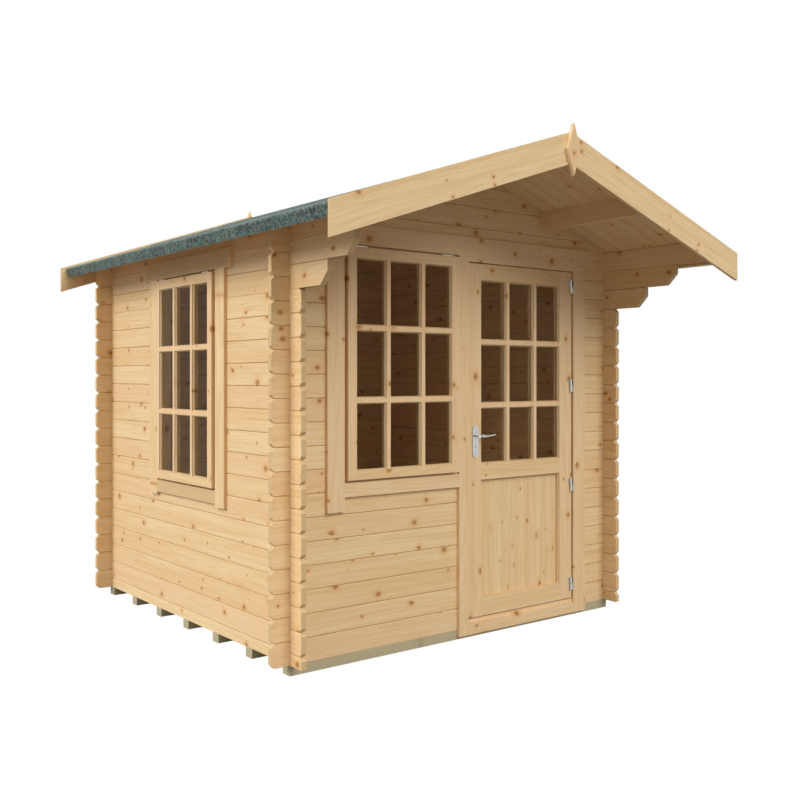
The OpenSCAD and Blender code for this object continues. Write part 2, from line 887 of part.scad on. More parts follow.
module handle_plate() {
    difference() {
        translate([spindle_x, 0, plate_mid_z]) rotate([90, 0, 0])
            linear_extrude(plate_t) plate_outline();
        translate([spindle_x, eps, spindle_z]) rotate([90, 0, 0])
            cylinder(h = plate_t + 2 * eps, r = neck_r + running_gap);
        translate([spindle_x, eps, spindle_z - keyhole_drop]) rotate([90, 0, 0])
            cylinder(h = plate_t + 2 * eps, r = 3);
        translate([spindle_x - 1.5, -plate_t - eps, spindle_z - keyhole_drop - 11])
            cube([3, plate_t + 2 * eps, 11]);
    }
}

module handle_plates() {
    color("silver") in_place() {
        translate([0, leaf_front, 0]) handle_plate();
        translate([0, leaf_back, 0]) mirror([0, 1, 0]) handle_plate();
    }
}

// A lever with a round neck, swept tip and soft wave, towards -y from the leaf's face
module lever() {
    bar = 11;
    thick = 10;
    wave = 5;
    rotate([90, 0, 0]) cylinder(h = lever_reach - thick / 2, r = neck_r);
    translate([0, -lever_reach + thick, 0]) rotate([90, 0, 0]) linear_extrude(thick) {
        circle(r = neck_r + 1);
        polygon([[0, neck_r + 1], [lever_l * 0.3, bar / 2 - 1], [lever_l * 0.6, bar / 2 - 2],
                 [lever_l * 0.85, bar / 2 - wave], [lever_l - 4, bar / 2 + 1],
                 [lever_l, bar / 2 - 2], [lever_l - 2, -bar / 2 + 2],
                 [lever_l * 0.85, -bar / 2 - wave], [lever_l * 0.6, -bar / 2 - 1],
                 [lever_l * 0.3, -bar / 2 - wave], [0, -neck_r - 1]]);
    }
}

module outer_lever() {
    color("silver") in_place() translate([spindle_x, leaf_front, spindle_z]) {
        lever();
        translate([-spindle_side / 2, -eps, -spindle_side / 2])
            cube([spindle_side, leaf_t - 1, spindle_side]);
    }
}

module inner_lever() {
    color("silver") in_place()
        translate([spindle_x, leaf_back, spindle_z]) mirror([0, 1, 0]) lever();
}

floor_bearers();
floor_boards();
front_wall_left();
front_wall_below_window();
front_wall_right();
front_gable();
back_wall();
back_gable();
left_wall_base();
left_wall_front();
left_wall_rear();
left_corbel_logs();
right_wall();
right_corbel_logs();
wall_plates();
purlins();
ridge_beam();
roof_boards_left();
roof_boards_right();
eave_battens();
roof_felt_left();
roof_felt_right();
barge_front_left();
barge_front_right();
barge_rear_left();
barge_rear_right();
finials();
frame_posts();
frame_rails();
trim_uprights();
trim_rails();
threshold();
front_sash();
front_glass();
side_sash();
side_glass();
window_hinges();
door_leaf();
door_panel();
door_glass();
door_hinges_fixed();
door_hinges_moving();
handle_plates();
outer_lever();
inner_lever();
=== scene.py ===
"""Finishes a small pine log cabin: timber, felt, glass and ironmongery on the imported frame."""

import json
import math

import bpy
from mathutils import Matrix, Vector


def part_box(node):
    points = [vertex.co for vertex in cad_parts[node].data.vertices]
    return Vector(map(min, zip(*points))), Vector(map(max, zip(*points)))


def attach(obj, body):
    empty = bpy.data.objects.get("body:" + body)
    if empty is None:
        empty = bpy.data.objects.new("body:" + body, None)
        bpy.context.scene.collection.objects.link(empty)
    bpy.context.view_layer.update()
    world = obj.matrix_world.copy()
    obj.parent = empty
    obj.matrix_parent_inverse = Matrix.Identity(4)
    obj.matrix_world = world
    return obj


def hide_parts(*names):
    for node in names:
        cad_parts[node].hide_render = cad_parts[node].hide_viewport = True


bl_info = {
    "name": "Log Cabin",
    "version": (1, 0, 0),
    "blender": (4, 5, 0),
    "location": "View3D > Sidebar > Log Cabin",
    "description": "Timber, felt, glass and ironmongery of a small garden log cabin",
    "category": "Object",
}

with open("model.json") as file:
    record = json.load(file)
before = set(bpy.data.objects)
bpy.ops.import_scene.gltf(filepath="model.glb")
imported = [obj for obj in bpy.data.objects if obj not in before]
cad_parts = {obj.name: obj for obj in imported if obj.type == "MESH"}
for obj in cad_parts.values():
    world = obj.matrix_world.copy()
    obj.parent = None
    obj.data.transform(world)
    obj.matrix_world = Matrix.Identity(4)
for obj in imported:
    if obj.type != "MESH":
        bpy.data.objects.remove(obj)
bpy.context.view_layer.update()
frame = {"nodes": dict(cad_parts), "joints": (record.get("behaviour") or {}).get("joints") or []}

# Where things stand, in metres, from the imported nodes
LEAF_LOW, LEAF_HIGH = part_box("door_leaf")
PLATES_LOW, PLATES_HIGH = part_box("handle_plates")
FELT_LOW, FELT_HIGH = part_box("roof_felt_right")
BEARERS_LOW, BEARERS_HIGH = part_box("floor_bearers")
LEVER = next(joint for joint in frame["joints"] if joint["name"] == "handle_turn")
LOG = 0.114
ROOF_PITCH = math.radians(19)


# ---- Colours and nodes ----


def srgb(code):
    """Linear colour from a hex code such as "E8C999"."""
    parts = [int(code[i : i + 2], 16) / 255 for i in (0, 2, 4)]
    return tuple(c / 12.92 if c <= 0.04045 else ((c + 0.055) / 1.055) ** 2.4 for c in parts) + (1.0,)


def add(tree, kind, inputs=None, **settings):
    """Adds a shader node with its settings, and sets or links its inputs."""
    made = tree.nodes.new("ShaderNode" + kind)
    for key, value in settings.items():
        setattr(made, key, value)
    for key, value in (inputs or {}).items():
        if isinstance(value, bpy.types.NodeSocket):
            tree.links.new(value, made.inputs[key])
        else:
            made.inputs[key].default_value = value
    return made


def new_material(name):
    """An empty material with its shader and output."""
    material = bpy.data.materials.new(name)
    material.use_nodes = True
    tree = material.node_tree
    tree.nodes.clear()
    shader = add(tree, "BsdfPrincipled")
    add(tree, "OutputMaterial", {"Surface": shader.outputs[0]})
    return material, tree, shader


def dress(material, *nodes):
    """Gives CAD nodes one material on every slot."""
    for name in nodes:
        mesh = frame["nodes"][name].data
        mesh.materials.clear()
        mesh.materials.append(material)


def pine(name, grain, across, look, pitch=0.0, offset=0.0, turn=0.0, joint=0.0, rails=()):
    """Planed Nordic pine: pale sapwood with fine growth lines along the grain, tan heartwood
    bands, orange-brown knots 10 to 25 mm wide and arcs of growth rings on the end grain.

    grain and across are axes 0 to 2, pitch and offset the board rows across, turn the slope
    about Y, joint the width of the shadow line between boards. rails are boxes, as two
    corners, whose boards lie across the others.
    """
    material, tree, shader = new_material(name)
    place = add(tree, "TexCoord")
    point = place.outputs["Object"]
    normal = place.outputs["Normal"]
    if turn:
        point = add(tree, "Mapping", {"Vector": point, "Rotation": (0, turn, 0)}).outputs[0]
        normal = add(
            tree, "Mapping", {"Vector": normal, "Rotation": (0, turn, 0)}, vector_type="NORMAL"
        ).outputs[0]
    axes = add(tree, "SeparateXYZ", {0: point}).outputs
    depth = 3 - grain - across
    along, side, through = axes[grain], axes[across], axes[depth]
    crossing = None
    for low, high in rails:
        middle = tuple((a + b) / 2 for a, b in zip(low, high))
        half = tuple((b - a) / 2 for a, b in zip(low, high))
        apart = add(tree, "VectorMath", {0: point, 1: middle}, operation="SUBTRACT").outputs[0]
        apart = add(tree, "VectorMath", {0: apart}, operation="ABSOLUTE").outputs[0]
        inside = add(tree, "VectorMath", {0: half, 1: apart}, operation="SUBTRACT").outputs[0]
        room = add(tree, "SeparateXYZ", {0: inside}).outputs
        least = add(tree, "Math", {0: room[0], 1: room[1]}, operation="MINIMUM").outputs[0]
        least = add(tree, "Math", {0: least, 1: room[2]}, operation="MINIMUM").outputs[0]
        within_box = add(tree, "Math", {0: least, 1: 0.0}, operation="GREATER_THAN").outputs[0]
        if crossing is None:
            crossing = within_box
        else:
            crossing = add(tree, "Math", {0: crossing, 1: within_box}, operation="MAXIMUM").outputs[0]
    if crossing:
        level = add(tree, "Math", {0: side, 1: through}, operation="ADD").outputs[0]
        upright = along
        along = add(tree, "Mix", {0: crossing, 2: upright, 3: level}, data_type="FLOAT").outputs[0]
        side = add(tree, "Mix", {0: crossing, 2: side, 3: upright}, data_type="FLOAT").outputs[0]

    # Board number and place within the board
    if pitch:
        row = add(tree, "Math", {0: side, 1: -offset}, operation="ADD").outputs[0]
        row = add(tree, "Math", {0: row, 1: pitch}, operation="DIVIDE").outputs[0]
        number = add(tree, "Math", {0: row}, operation="FLOOR").outputs[0]
        within = add(tree, "Math", {0: row}, operation="FRACT").outputs[0]
    else:
        number = crossing or add(tree, "Value").outputs[0]
    wall = add(tree, "Math", {0: through, 1: 0.4}, operation="DIVIDE").outputs[0]
    wall = add(tree, "Math", {0: wall}, operation="FLOOR").outputs[0]
    seed = add(tree, "CombineXYZ", {0: number, 1: wall}).outputs[0]
    chance = add(tree, "TexWhiteNoise", {"Vector": seed}, noise_dimensions="3D")
    shift = add(tree, "VectorMath", {0: chance.outputs["Color"], 1: (7, 5, 3)}, operation="MULTIPLY")

    board = add(tree, "CombineXYZ", {0: along, 1: side, 2: through}).outputs[0]

    # Knots: one chance in each cell of about 260 x 85 mm
    cell = Vector((0.26, 0.085, 0.3))
    scaled = add(tree, "VectorMath", {0: board, 1: tuple(1 / c for c in cell)}, operation="MULTIPLY")
    scaled = add(tree, "VectorMath", {0: scaled.outputs[0], 1: shift.outputs[0]}, operation="ADD")
    cells = add(tree, "TexVoronoi", {"Vector": scaled.outputs[0], "Scale": 1.0})
    away = add(
        tree, "VectorMath", {0: scaled.outputs[0], 1: cells.outputs["Position"]}, operation="SUBTRACT"
    )
    away = add(tree, "VectorMath", {0: away.outputs[0], 1: (0.21, 0.085, 0.0)}, operation="MULTIPLY")
    reach = add(tree, "VectorMath", {0: away.outputs[0]}, operation="LENGTH").outputs["Value"]
    pick = add(tree, "SeparateColor", {0: cells.outputs["Color"]}).outputs[0]
    size = add(
        tree,
        "MapRange",
        {"Value": pick, "From Min": 1.0 - look.knots, "From Max": 1.0, "To Min": 0.0, "To Max": look.knot_size},
    ).outputs[0]
    size = add(tree, "Math", {0: size, 1: 0.0004}, operation="MAXIMUM").outputs[0]
    ratio = add(tree, "Math", {0: reach, 1: size}, operation="DIVIDE").outputs[0]
    core = add(
        tree, "MapRange", {"Value": ratio, "From Min": 1.2, "From Max": 0.6, "To Min": 0.0, "To Max": 0.85}
    ).outputs[0]
    heart = add(
        tree, "MapRange", {"Value": ratio, "From Min": 0.7, "From Max": 0.1, "To Min": 0.0, "To Max": 0.9}
    ).outputs[0]
    halo = add(
        tree, "MapRange", {"Value": ratio, "From Min": 3.2, "From Max": 0.8, "To Min": 0.0, "To Max": 1.0},
        interpolation_type="SMOOTHSTEP",
    ).outputs[0]
    rare = add(
        tree, "MapRange", {"Value": size, "From Min": 0.001, "From Max": 0.004, "To Min": 0.0, "To Max": 1.0}
    ).outputs[0]
    core = add(tree, "Math", {0: core, 1: rare}, operation="MULTIPLY").outputs[0]
    halo = add(tree, "Math", {0: halo, 1: rare}, operation="MULTIPLY").outputs[0]

    # Growth lines: streaks 400 mm long and 5 mm wide, pushed aside by the knots
    push = add(tree, "Math", {0: halo, 1: 0.012}, operation="MULTIPLY").outputs[0]
    bent = add(tree, "CombineXYZ", {1: push}).outputs[0]
    bent = add(tree, "VectorMath", {0: board, 1: bent}, operation="ADD").outputs[0]
    moved = add(tree, "VectorMath", {0: bent, 1: shift.outputs[0]}, operation="ADD").outputs[0]
    fine = add(tree, "VectorMath", {0: moved, 1: (2.2, 150, 60)}, operation="MULTIPLY").outputs[0]
    fine = add(tree, "TexNoise", {"Vector": fine, "Scale": 1.0, "Detail": 3.0, "Roughness": 0.6})
    bands = add(tree, "VectorMath", {0: moved, 1: (1.1, 26, 14)}, operation="MULTIPLY").outputs[0]
    bands = add(tree, "TexNoise", {"Vector": bands, "Scale": 1.0, "Detail": 2.0, "Distortion": 0.4})
    lines = add(tree, "VectorMath", {0: moved, 1: (0.55, 9, 5)}, operation="MULTIPLY").outputs[0]
    lines = add(tree, "TexNoise", {"Vector": lines, "Scale": 1.0, "Detail": 1.0})
    lines = add(tree, "Math", {0: lines.outputs[0], 1: 85.0}, operation="MULTIPLY").outputs[0]
    lines = add(tree, "Math", {0: lines}, operation="SINE").outputs[0]
    lines = add(
        tree, "MapRange", {"Value": lines, "From Min": 0.1, "From Max": 1.0, "To Min": 0.0, "To Max": 1.0}
    ).outputs[0]

    tone = add(
        tree, "MapRange",
        {"Value": bands.outputs[0], "From Min": 0.35, "From Max": 0.7, "To Min": 0.0, "To Max": 0.7},
    ).outputs[0]
    drift = add(tree, "Math", {0: chance.outputs["Value"], 1: 0.55}, operation="MULTIPLY").outputs[0]
    tone = add(tree, "Math", {0: tone, 1: drift}, operation="ADD").outputs[0]
    tint = add(
        tree, "Mix", {0: tone, 6: tuple(look.sapwood), 7: tuple(look.heartwood)}, data_type="RGBA"
    ).outputs[2]
    rosy = add(tree, "SeparateColor", {0: chance.outputs["Color"]}).outputs[2]
    rosy = add(
        tree, "MapRange", {"Value": rosy, "From Min": 0.4, "From Max": 1.0, "To Min": 0.0, "To Max": 0.6}
    ).outputs[0]
    tint = add(tree, "Mix", {0: rosy, 6: tint, 7: tuple(look.rosy)}, data_type="RGBA").outputs[2]
    streak = add(
        tree, "MapRange",
        {"Value": fine.outputs[0], "From Min": 0.45, "From Max": 0.75, "To Min": 0.0, "To Max": 0.34},
    ).outputs[0]
    tint = add(
        tree, "Mix", {0: streak, 6: tint, 7: tuple(look.latewood)}, data_type="RGBA"
    ).outputs[2]
    lines_part = add(tree, "Math", {0: lines, 1: 0.2}, operation="MULTIPLY").outputs[0]
    tint = add(
        tree, "Mix", {0: lines_part, 6: tint, 7: tuple(look.latewood)}, data_type="RGBA"
    ).outputs[2]
    halo_part = add(tree, "Math", {0: halo, 1: 0.55}, operation="MULTIPLY").outputs[0]
    tint = add(
        tree, "Mix", {0: halo_part, 6: tint, 7: tuple(look.halo)}, data_type="RGBA"
    ).outputs[2]
    tint = add(tree, "Mix", {0: core, 6: tint, 7: tuple(look.knot)}, data_type="RGBA").outputs[2]
    heart = add(tree, "Math", {0: heart, 1: core}, operation="MULTIPLY").outputs[0]
    tint = add(tree, "Mix", {0: heart, 6: tint, 7: tuple(look.knot_heart)}, data_type="RGBA").outputs[2]

    # End grain: rings 4 mm apart, darker and thirstier than the faces
    facing = add(tree, "SeparateXYZ", {0: normal}).outputs[grain]
    facing = add(tree, "Math", {0: facing}, operation="ABSOLUTE").outputs[0]
    end = add(
        tree, "MapRange", {"Value": facing, "From Min": 0.45, "From Max": 0.65, "To Min": 0.0, "To Max": 1.0}
    ).outputs[0]
    ring = add(tree, "VectorMath", {0: board, 1: (0, 1, 1)}, operation="MULTIPLY").outputs[0]
    ring = add(tree, "VectorMath", {0: ring, 1: shift.outputs[0]}, operation="ADD").outputs[0]
    ring = add(tree, "TexNoise", {"Vector": ring, "Scale": 7.0, "Detail": 0.0}).outputs[0]
    ring = add(tree, "Math", {0: ring, 1: 160.0}, operation="MULTIPLY").outputs[0]
    ring = add(tree, "Math", {0: ring}, operation="SINE").outputs[0]
    ring = add(
        tree, "MapRange", {"Value": ring, "From Min": -0.2, "From Max": 1.0, "To Min": 0.0, "To Max": 0.5}
    ).outputs[0]
    cut = add(
        tree, "Mix", {0: ring, 6: tuple(look.end_grain), 7: tuple(look.latewood)}, data_type="RGBA"
    ).outputs[2]
    tint = add(tree, "Mix", {0: end, 6: tint, 7: cut}, data_type="RGBA").outputs[2]

    # Shadow line where boards meet
    if joint:
        edge = add(tree, "Math", {0: within, 1: 0.5}, operation="SUBTRACT").outputs[0]
        edge = add(tree, "Math", {0: edge}, operation="ABSOLUTE").outputs[0]
        line = add(
            tree, "MapRange",
            {"Value": edge, "From Min": 0.5 - joint / pitch, "From Max": 0.5 - 0.3 * joint / pitch,
             "To Min": 0.0, "To Max": 0.75},
        ).outputs[0]
        gap = add(tree, "Math", {0: 1.0, 1: end}, operation="SUBTRACT").outputs[0]
        line = add(tree, "Math", {0: line, 1: gap}, operation="MULTIPLY").outputs[0]
        tint = add(tree, "Mix", {0: line, 6: tint, 7: tuple(look.joint)}, data_type="RGBA").outputs[2]
    tree.links.new(tint, shader.inputs["Base Color"])

    # Planed face: satin, a little rougher on growth lines, with relief of a few hundredths
    rough = add(
        tree, "MapRange", {"Value": fine.outputs[0], "From Min": 0.3, "From Max": 0.7, "To Min": 0.5, "To Max": 0.66}
    ).outputs[0]
    tree.links.new(rough, shader.inputs["Roughness"])
    relief = add(tree, "Math", {0: fine.outputs[0], 1: core}, operation="SUBTRACT").outputs[0]
    bump = add(tree, "Bump", {"Strength": 0.25, "Distance": 0.0006, "Height": relief})
    tree.links.new(bump.outputs[0], shader.inputs["Normal"])
    shader.inputs["Specular IOR Level"].default_value = 0.3
    return material


# ---- Modelling helpers ----


def start():
    """Leaves nothing selected, in object mode."""
    if bpy.context.object and bpy.context.object.mode != "OBJECT":
        bpy.ops.object.mode_set(mode="OBJECT")
    bpy.ops.object.select_all(action="DESELECT")


def finish_piece(name, material, body, slot, *stands_for, smooth=30):
    """Names the active object, puts its place in its mesh and sets it to ride."""
    piece = bpy.context.object
    if piece.mode != "OBJECT":
        bpy.ops.object.mode_set(mode="OBJECT")
    piece.name = name
    piece.data.name = name
    bpy.ops.object.transform_apply(location=True, rotation=True, scale=True)
    bpy.ops.object.mode_set(mode="EDIT")
    bpy.ops.mesh.select_all(action="SELECT")
    bpy.ops.mesh.normals_make_consistent(inside=False)
    bpy.ops.object.mode_set(mode="OBJECT")
    bpy.ops.object.shade_smooth_by_angle(angle=math.radians(smooth))
    piece.data.materials.clear()
    piece.data.materials.append(material)
    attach(piece, body)
    if stands_for:
        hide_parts(*stands_for)
    return piece


def sweep(stations):
    """A closed round bar through stations of centre, radius, flattening and turn about Z."""
    centre, radius, flat, turn = stations[0]
    bpy.ops.mesh.primitive_circle_add(
        vertices=24, radius=radius, fill_type="NGON", location=centre, rotation=(math.pi / 2, 0, 0)
    )
    bpy.ops.object.transform_apply(location=True, rotation=True, scale=True)
    bpy.ops.object.mode_set(mode="EDIT")
    bpy.ops.mesh.select_all(action="SELECT")
    at = Vector(centre)
    for centre, new_radius, new_flat, new_turn in stations[1:]:
        step = Vector(centre) - at
        bpy.ops.mesh.extrude_region_move(TRANSFORM_OT_translate={"value": step})
        at = Vector(centre)
        grow = new_radius / radius
        bpy.ops.transform.resize(value=(grow, grow, grow * new_flat / flat), center_override=at)
        if new_turn != turn:
            bpy.ops.transform.rotate(
                value=new_turn - turn, orient_axis="Z", orient_type="GLOBAL", center_override=at
            )
        radius, flat, turn = new_radius, new_flat, new_turn
    bpy.ops.mesh.select_all(action="SELECT")
    bpy.ops.object.mode_set(mode="OBJECT")


def join_copies(model, places):
    """One object made of copies of a small model, each at its own place."""
    copies = []
    for place in places:
        twin = model.copy()
        twin.data = model.data.copy()
        twin.location = place
        bpy.context.collection.objects.link(twin)
        copies.append(twin)
    bpy.data.objects.remove(model)
    start()
    for twin in copies:
        twin.select_set(True)
    bpy.context.view_layer.objects.active = copies[0]
    bpy.ops.object.join()
    bpy.ops.object.transform_apply(location=True, rotation=True, scale=True)
    return bpy.context.object


# ---- Settings ----


class CabinTimber(bpy.types.PropertyGroup):
    """Colours of the planed pine."""

    sapwood: bpy.props.FloatVectorProperty(
        name="Sapwood", description="Pale wood between the growth lines", subtype="COLOR",
        size=4, min=0, max=1, default=srgb("EDD2A4"),
    )
    heartwood: bpy.props.FloatVectorProperty(
        name="Heartwood", description="Warmer bands", subtype="COLOR",
        size=4, min=0, max=1, default=srgb("E2BE89"),
    )
    latewood: bpy.props.FloatVectorProperty(
        name="Latewood", description="Growth lines", subtype="COLOR",
        size=4, min=0, max=1, default=srgb("D3A46B"),
    )
    rosy: bpy.props.FloatVectorProperty(
        name="Rosy wood", description="Tone of the pinker boards", subtype="COLOR",
        size=4, min=0, max=1, default=srgb("E6C096"),
    )
    halo: bpy.props.FloatVectorProperty(
        name="Knot surround", description="Wood that bends round a knot", subtype="COLOR",
        size=4, min=0, max=1, default=srgb("DDAE74"),
    )
    knot: bpy.props.FloatVectorProperty(
        name="Knot", description="Knots", subtype="COLOR",
        size=4, min=0, max=1, default=srgb("BC824A"),
    )
    knot_heart: bpy.props.FloatVectorProperty(
        name="Knot heart", description="Middle of the knots", subtype="COLOR",
        size=4, min=0, max=1, default=srgb("99683A"),
    )
    end_grain: bpy.props.FloatVectorProperty(
        name="End grain", description="Sawn log ends", subtype="COLOR",
        size=4, min=0, max=1, default=srgb("D2B485"),
    )
    joint: bpy.props.FloatVectorProperty(
        name="Joint", description="Shadow line between boards", subtype="COLOR",
        size=4, min=0, max=1, default=srgb("8A5C30"),
    )
    knots: bpy.props.FloatProperty(
        name="Knots", description="Share of places that hold a knot", default=0.5, min=0, max=1
    )
    knot_size: bpy.props.FloatProperty(
        name="Knot size", description="Radius of the largest knots", default=0.018,
        min=0.001, max=0.03, unit="LENGTH",
    )


class CabinRoof(bpy.types.PropertyGroup):
    """Felt on the roof."""

    granules: bpy.props.FloatVectorProperty(
        name="Granules", description="Mineral granules on the felt", subtype="COLOR",
        size=4, min=0, max=1, default=srgb("6E8177"),
    )
    bitumen: bpy.props.FloatVectorProperty(
        name="Bitumen", description="Bitumen between the granules", subtype="COLOR",
        size=4, min=0, max=1, default=srgb("222C2A"),
    )
    lap: bpy.props.FloatProperty(
        name="Lap", description="Thickness of one lap of felt", default=0.0025,
        min=0.001, max=0.006, unit="LENGTH",
    )
    nail_step: bpy.props.FloatProperty(
        name="Nail spacing", description="Distance between clout nails", default=0.15,
        min=0.05, max=0.5, unit="LENGTH",
    )


class CabinLight(bpy.types.PropertyGroup):
    """Light round the cabin."""

    sky: bpy.props.FloatProperty(name="Sky", description="Even light", default=0.42, min=0, max=3)
    key: bpy.props.FloatProperty(name="Key", description="Light from the left", default=2.6, min=0, max=10)
    fill: bpy.props.FloatProperty(name="Fill", description="Light on the front", default=1.75, min=0, max=10)


# ---- Timber ----


class CABIN_OT_logs(bpy.types.Operator):
    """Log walls: each log with its own tone and knots"""

    bl_idname = "cabin.logs"
    bl_label = "Log walls"

    def execute(self, context):
        look = context.scene.cabin_timber
        floor = BEARERS_HIGH.z
        ends = pine("pine_logs_front_and_back", 0, 2, look, pitch=LOG, offset=floor, joint=0.0016)
        sides = pine("pine_logs_sides", 1, 2, look, pitch=LOG, offset=floor + LOG / 2, joint=0.0016)
        dress(
            ends, "front_wall_left", "front_wall_below_window", "front_wall_right",
            "front_gable", "back_wall", "back_gable",
        )
        dress(
            sides, "left_wall_base", "left_wall_front", "left_wall_rear", "left_corbel_logs",
            "right_wall", "right_corbel_logs", "wall_plates",
        )
        return {"FINISHED"}


class CABIN_OT_roof_timbers(bpy.types.Operator):
    """Roof boards, purlins, eave battens, barge boards and finials"""

    bl_idname = "cabin.roof_timbers"
    bl_label = "Roof timbers"

    def execute(self, context):
        look = context.scene.cabin_timber
        step = 0.096
        for side, turn in (("left", ROOF_PITCH), ("right", -ROOF_PITCH)):
            boards = pine(f"pine_roof_boards_{side}", 0, 1, look, pitch=step, turn=turn, joint=0.0025)
            dress(boards, f"roof_boards_{side}")
            barge = pine(f"pine_barge_board_{side}", 0, 2, look, turn=turn)
            dress(barge, f"barge_front_{side}", f"barge_rear_{side}")
        dress(pine("pine_roof_beams", 1, 2, look), "purlins", "ridge_beam", "eave_battens")
        dress(pine("pine_finials", 2, 0, look), "finials")
        return {"FINISHED"}


class CABIN_OT_joinery(bpy.types.Operator):
    """Frames, trims, sashes and the door leaf"""

    bl_idname = "cabin.joinery"
    bl_label = "Frames, sashes and door"

    def execute(self, context):
        look = context.scene.cabin_timber
        upright = pine("pine_upright_boards", 2, 0, look)
        level = pine("pine_level_boards", 0, 2, look)
        dress(upright, "frame_posts", "trim_uprights")
        dress(level, "frame_rails", "trim_rails", "threshold")
        for name, axis, stile, top, low_rail in (
            ("front_sash", 0, 0.051, 0.051, 0.044), ("side_sash", 1, 0.051, 0.051, 0.044),
            ("door_leaf", 0, 0.098, 0.087, 0.095),
        ):
            low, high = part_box(name)
            bands = [(low.z - 0.01, low.z + low_rail), (high.z - top, high.z + 0.01)]
            if name == "door_leaf":
                panel_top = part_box("door_panel")[1].z
                bands.append((panel_top - 0.004, panel_top + 0.083))
            rails = []
            for bottom, crown in bands:
                first, last = low - Vector((0.1, 0.1, 0)), high + Vector((0.1, 0.1, 0))
                first[axis], last[axis] = low[axis] + stile, high[axis] - stile
                first.z, last.z = bottom, crown
                rails.append((tuple(first), tuple(last)))
            dress(pine(f"pine_{name}", 2, axis, look, rails=rails), name)
        # Edge-glued strips, each about 45 mm wide with a tone of its own
        dress(pine("pine_door_panel", 2, 0, look, pitch=0.045, offset=0.03, joint=0.0), "door_panel")
        return {"FINISHED"}


class CABIN_OT_base(bpy.types.Operator):
    """Treated bearers and the floor"""

    bl_idname = "cabin.base"
    bl_label = "Bearers and floor"

    def execute(self, context):
        look = context.scene.cabin_timber
        low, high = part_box("floor_boards")
        step = (high.x - low.x) / 23
        dress(pine("pine_floor_boards", 1, 0, look, pitch=step, offset=low.x, joint=0.0015), "floor_boards")
        treated = pine("pressure_treated_pine_bearers", 0, 1, look)
        tree = treated.node_tree
        shader = next(n for n in tree.nodes if n.bl_idname == "ShaderNodeBsdfPrincipled")
        # Copper salts turn the wood a dull green and hide most of its warmth
        wood = shader.inputs["Base Color"].links[0].from_socket
        green = add(tree, "Mix", {0: 0.75, 6: wood, 7: srgb("A5A284")}, data_type="RGBA")
        tree.links.new(green.outputs[2], shader.inputs["Base Color"])
        dress(treated, "floor_bearers")
        return {"FINISHED"}


# ---- Felt ----


def felt_material(look):
    """Bitumen roofing felt with a rolled-in mineral face: matt, grainy and slightly mottled."""
    material, tree, shader = new_material("mineral_faced_bitumen_felt")
    point = add(tree, "TexCoord").outputs["Object"]
    # Granules of about 1 mm, drawn 8 mm across to show
    grains = add(tree, "TexVoronoi", {"Vector": point, "Scale": 120.0})
    speck = add(tree, "SeparateColor", {0: grains.outputs["Color"]}).outputs[0]
    patches = add(tree, "TexNoise", {"Vector": point, "Scale": 9.0, "Detail": 4.0})
    mottle = add(
        tree, "MapRange",
        {"Value": patches.outputs[0], "From Min": 0.35, "From Max": 0.7, "To Min": -0.15, "To Max": 0.15},
    ).outputs[0]
    blend = add(tree, "Math", {0: speck, 1: mottle}, operation="ADD").outputs[0]
    tint = add(
        tree, "Mix", {0: blend, 6: tuple(look.bitumen), 7: tuple(look.granules)}, data_type="RGBA"
    ).outputs[2]
    tree.links.new(tint, shader.inputs["Base Color"])
    bump = add(
        tree, "Bump", {"Strength": 0.6, "Distance": 0.001, "Height": grains.outputs["Distance"]}
    )
    tree.links.new(bump.outputs[0], shader.inputs["Normal"])
    shader.inputs["Roughness"].default_value = 0.85
    return material


